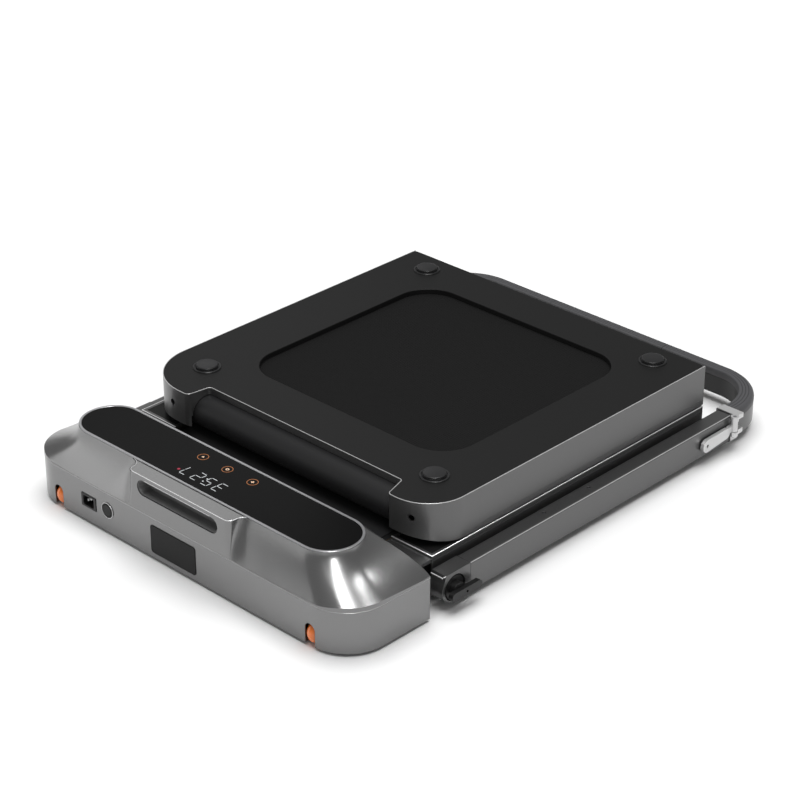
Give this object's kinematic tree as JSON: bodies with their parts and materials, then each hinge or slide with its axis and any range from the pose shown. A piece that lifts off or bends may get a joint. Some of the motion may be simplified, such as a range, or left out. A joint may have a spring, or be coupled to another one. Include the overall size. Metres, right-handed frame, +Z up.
{
  "type": "walking pad",
  "caption": "Folding under-desk treadmill: motor head with touch display, two hinged belt decks, fold-down handrail, carrying grip and transport wheels.",
  "frame": {"origin": "middle of the bounding box on the floor, pad folded and handrail down", "axes": "+X to the right seen from the head, +Y from the head towards the handle, +Z up"},
  "size_m": [0.72, 0.979, 0.151],
  "materials": {
    "satin_grey": "satin metallic grey lacquer",
    "bright_rim": "satin anodised",
    "black_glass": "black backed polished glass",
    "circuit_board": "solder mask",
    "dark_plastic": "fine grained black",
    "graphite_paint": "metallic graphite powder coat",
    "cover_plastic": "fine grained charcoal",
    "pad_rubber": "matt black",
    "belt_rubber": "matt black woven back",
    "orange_plastic": "glossy orange",
    "plate_metal": "black film label, bare",
    "zinc_steel": "zinc plated",
    "motor_paint": "black enamel",
    "board_wood": "fibreboard",
    "silver_cast": "satin cast",
    "tube_alloy": "grey anodised"
  },
  "bodies": {
    "base": {"hood": "satin_grey", "head_tray": "satin_grey", "panel_rim": "bright_rim", "panel_glass": "black_glass", "display_board": "circuit_board", "grip_pocket": "dark_plastic", "power_inlet": "dark_plastic", "inlet_pins": "zinc_steel", "switch_bezel": "dark_plastic", "rating_plate": "plate_metal", "wheel_brackets": "zinc_steel", "motor": "motor_paint", "motor_cradle": "zinc_steel", "drive_belt": "pad_rubber", "control_board": "circuit_board", "drive_axle": "zinc_steel", "frame_plates": "zinc_steel", "front_rails": "graphite_paint", "front_foot_rails": "graphite_paint", "front_foot_pads": "pad_rubber", "front_board": "board_wood", "front_members": "zinc_steel", "front_belt": "belt_rubber", "front_cover": "cover_plastic", "front_mesh": "cover_plastic", "feet_front": "pad_rubber", "hinge_front": "zinc_steel", "pivot_brackets": "zinc_steel"},
    "hinge_middle": {"hinge_link": "zinc_steel"},
    "rear_section": {"rear_rails": "graphite_paint", "rear_foot_rails": "graphite_paint", "rear_foot_pads": "pad_rubber", "rear_board": "board_wood", "rear_members": "zinc_steel", "rear_belt": "belt_rubber", "rear_cover": "cover_plastic", "rear_mesh": "cover_plastic", "feet_rear": "pad_rubber", "end_caps": "graphite_paint", "tail_axle": "zinc_steel", "tension_bolts": "zinc_steel", "hinge_rear": "zinc_steel"},
    "handrail": {"posts": "graphite_paint", "housings": "graphite_paint", "post_gaskets": "pad_rubber", "collars": "silver_cast", "clamp_pins": "zinc_steel"},
    "handle": {"inner_tubes": "tube_alloy", "handle_frame": "tube_alloy", "handle_grips": "pad_rubber"},
    "knob_l": {"knob_left": "dark_plastic"},
    "knob_r": {"knob_right": "dark_plastic"},
    "lever_l": {"lever_left": "silver_cast"},
    "lever_r": {"lever_right": "silver_cast"},
    "wheel_l": {"wheel_left": "orange_plastic"},
    "wheel_r": {"wheel_right": "orange_plastic"},
    "switch_rocker": {"power_switch": "dark_plastic"},
    "motor_shaft": {"motor_pulley": "zinc_steel"},
    "drive_roller_body": {"drive_roller": "zinc_steel"},
    "tail_roller_body": {"tail_roller": "zinc_steel"}
  },
  "joints": [
    {"name": "deck_fold", "type": "hinge", "parent": "base", "child": "hinge_middle", "pos_m": [0, 0.33355, 0.0755], "axis": [-1, 0, 0], "range_deg": [0, 135]},
    {"name": "deck_lay_flat", "type": "hinge", "parent": "hinge_middle", "child": "rear_section", "pos_m": [0, 0.33355, 0.0755], "axis": [-1, 0, 0], "range_deg": [0, 45]},
    {"name": "handrail_raise", "type": "hinge", "parent": "base", "child": "handrail", "pos_m": [0, -0.27495, 0.0325], "axis": [1, 0, 0], "range_deg": [0, 90]},
    {"name": "handle_slide", "type": "slide", "parent": "handrail", "child": "handle", "axis": [0, 1, 0], "range_m": [0, 0.1]},
    {"name": "knob_left_turn", "type": "hinge", "parent": "handrail", "child": "knob_l", "pos_m": [-0.345, -0.27495, 0.0325], "axis": [1, 0, 0], "range_deg": [0, 90]},
    {"name": "knob_right_turn", "type": "hinge", "parent": "handrail", "child": "knob_r", "pos_m": [0.345, -0.27495, 0.0325], "axis": [1, 0, 0], "range_deg": [0, 90]},
    {"name": "lever_left_open", "type": "hinge", "parent": "handrail", "child": "lever_l", "pos_m": [-0.3535, 0.36005, 0.043], "axis": [0, 0, -1], "range_deg": [0, 120]},
    {"name": "lever_right_open", "type": "hinge", "parent": "handrail", "child": "lever_r", "pos_m": [0.3535, 0.36005, 0.043], "axis": [0, 0, 1], "range_deg": [0, 120]},
    {"name": "wheel_left_roll", "type": "hinge", "parent": "base", "child": "wheel_l", "pos_m": [-0.271, -0.47185, 0.02], "axis": [1, 0, 0], "continuous": true},
    {"name": "wheel_right_roll", "type": "hinge", "parent": "base", "child": "wheel_r", "pos_m": [0.271, -0.47185, 0.02], "axis": [1, 0, 0], "continuous": true},
    {"name": "power_rocker", "type": "hinge", "parent": "base", "child": "switch_rocker", "pos_m": [-0.1555, -0.48195, 0.0422], "axis": [1, 0, 0], "range_deg": [0, 7]},
    {"name": "drive_spin", "type": "hinge", "parent": "base", "child": "drive_roller_body", "pos_m": [0, -0.35795, 0.0448], "axis": [1, 0, 0], "continuous": true},
    {"name": "tail_spin", "type": "hinge", "parent": "rear_section", "child": "tail_roller_body", "pos_m": [0, -0.25495, 0.1062], "axis": [1, 0, 0], "continuous": true},
    {"name": "motor_spin", "type": "hinge", "parent": "base", "child": "motor_shaft", "pos_m": [0.2, -0.43295, 0.052], "axis": [1, 0, 0], "continuous": true}
  ],
  "couplings": [
    {"joint": "tail_spin", "follows": "drive_spin", "ratio": 1},
    {"joint": "motor_spin", "follows": "drive_spin", "ratio": 2.0833}
  ]
}
